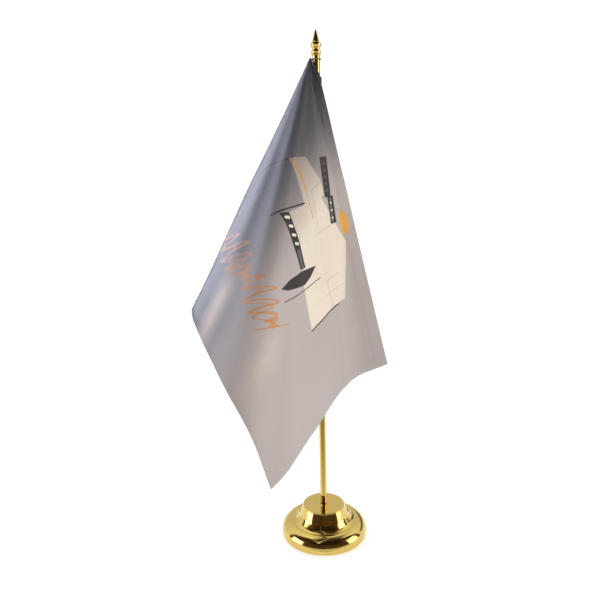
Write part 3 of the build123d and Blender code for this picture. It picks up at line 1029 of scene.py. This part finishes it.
def room():
    """The room that lights the stand: pale walls, a dark side in front and two tall windows."""
    world = bpy.data.worlds.new("studio")
    bpy.context.scene.world = world
    world.use_nodes = True
    paint = Room(world)
    across, away, rise = paint.split(paint.coordinates("Generated"))
    bearing = across.math("ARCTAN2", away * -1)
    climb = rise.math("ARCSINE")

    def zone(bands, first=bearing, second=climb):
        return hump(first, *bands[0]) * hump(second, *bands[1])

    grain = paint.noise(2.5, 2.0, paint.coordinates("Generated"))
    light = paint.mix(hump(away, 1.0, 0.5, 0.6), WALLS, BACK_WALL)
    light = paint.mix(hump(climb, 1.5, 0.6, 0.6), light, CEILING)
    gloom = paint.mix(grain, DARK_SIDE, DARK_SIDE_PALE)
    light = paint.mix(zone(DARK_FRONT), light, gloom)
    light = paint.mix(zone(DARK_STRIP, across, away), light, gloom)
    light = paint.mix(zone(DARK_OVERHEAD), light, DARK_SIDE)
    light = paint.mix(zone(DARK_BACK_RIGHT) * 0.85, light, DARK_SIDE)
    for centre, half_width, low, high, glow in WINDOWS:
        frame_round = ((centre, half_width + 0.2, 0.1), (0.3, 0.7, 0.2))
        light = paint.mix(zone(frame_round), light, gloom)
        pane = ((centre, half_width, 0.1), ((low + high) / 2, (high - low) / 2, 0.15))
        light = paint.mix(zone(pane), light, glow)
    seen = paint.node("ShaderNodeLightPath").outputs["Is Camera Ray"]
    light = paint.mix(seen, light, BACKDROP)
    paint.tree.links.new(light, paint.shader.inputs["Color"])


def camera():
    """The photograph's view: just above the middle of the flag, looking slightly down."""
    place_at = Vector((-14.0, -379.2, 242.0)) * MM
    pitch, roll, field = math.radians(10.01), math.radians(-1.36), math.radians(56.66)
    ahead = Vector((0, math.cos(pitch), -math.sin(pitch)))
    up = Vector((0, math.sin(pitch), math.cos(pitch)))
    right = Vector((1, 0, 0))
    rolled_right = right * math.cos(roll) + up * math.sin(roll)
    rolled_up = up * math.cos(roll) - right * math.sin(roll)
    turned = Matrix((rolled_right, rolled_up, -ahead)).transposed().to_4x4()
    data = bpy.data.cameras.new("camera")
    data.angle = field
    data.clip_start = 0.01
    eye = bpy.data.objects.new("camera", data)
    bpy.context.scene.collection.objects.link(eye)
    eye.matrix_world = Matrix.Translation(place_at) @ turned
    bpy.context.scene.camera = eye


# ------------------------------------------------------------------ the object

camera()
room()
shine("shine_left", -118, 28, 900, (380, 560), 16.5, (0.78, 0.81, 1.0))
shine("shine_high", -84, 47, 900, (420, 420), 23.0, (0.78, 0.81, 1.0))
shine("shine_top", 12, 52, 900, (360, 300), 6.0, (0.88, 0.90, 1.0))
shine("shine_right", 78, 22, 900, (260, 520), 1.0, (1.0, 0.94, 0.88))
shine("key", 58, 38, 1100, (520, 520), 5.4, (1.0, 0.965, 0.93), as_light=True)
floor()
table_shadow()
bpy.context.scene.view_settings.view_transform = "Standard"

gold, steel, iron = polished_gold(), plain_steel(), cast_iron()
felt, fibre = green_felt(), red_fibre()
flag_satin, sleeve_satin = satin("flag_satin", True), satin("sleeve_satin", False)
seam_thread = thread_material("seam_thread", (0.42, 0.40, 0.41), (0.60, 0.57, 0.57))
hem_thread = thread_material("hem_thread", (0.30, 0.28, 0.29), (0.60, 0.57, 0.57), dyed_and_shaded=True)
loop_cord = thread_material("loop_cord", (0.03, 0.028, 0.032), (0.11, 0.10, 0.11))

place(base_shell(), "stand", gold, ["base_shell"])
place(felt_pad(), "stand", felt, ["felt_pad"])
place(pole_tube(), "pole", gold, ["pole_tube"])
place(finial_body(), "finial", gold, ["finial_body"])
place(finial_collar(), "finial", gold, ["finial_collar"])
cloth = place(flag_cloth(), "flag", flag_satin, ["flag_cloth"])
sleeve = place(pole_sleeve(), "flag", sleeve_satin, ["pole_sleeve"])
stitches = place(hem_stitches(), "flag", hem_thread)
seam_row = place(sleeve_stitches(), "flag", seam_thread, ["sleeve_stitching"])
loop = place(hanging_loop(), "flag", loop_cord, ["hanging_loop"])
for piece in (cloth, sleeve, stitches, seam_row, loop):
    SATIN_THINGS.objects.link(piece)

CAD_FINISH = {
    "socket_gasket": fibre, "ballast_weight": iron,
    "pole_socket": steel, "ballast_washer": steel, "ballast_nut": steel, "bottom_plate": steel,
    "centre_screw": steel, "screw_washer": steel, "pole_stud": steel, "pole_top_bush": steel,
    "finial_stud": steel,
}
for node, material in CAD_FINISH.items():
    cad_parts[node].data.materials.clear()
    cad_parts[node].data.materials.append(material)
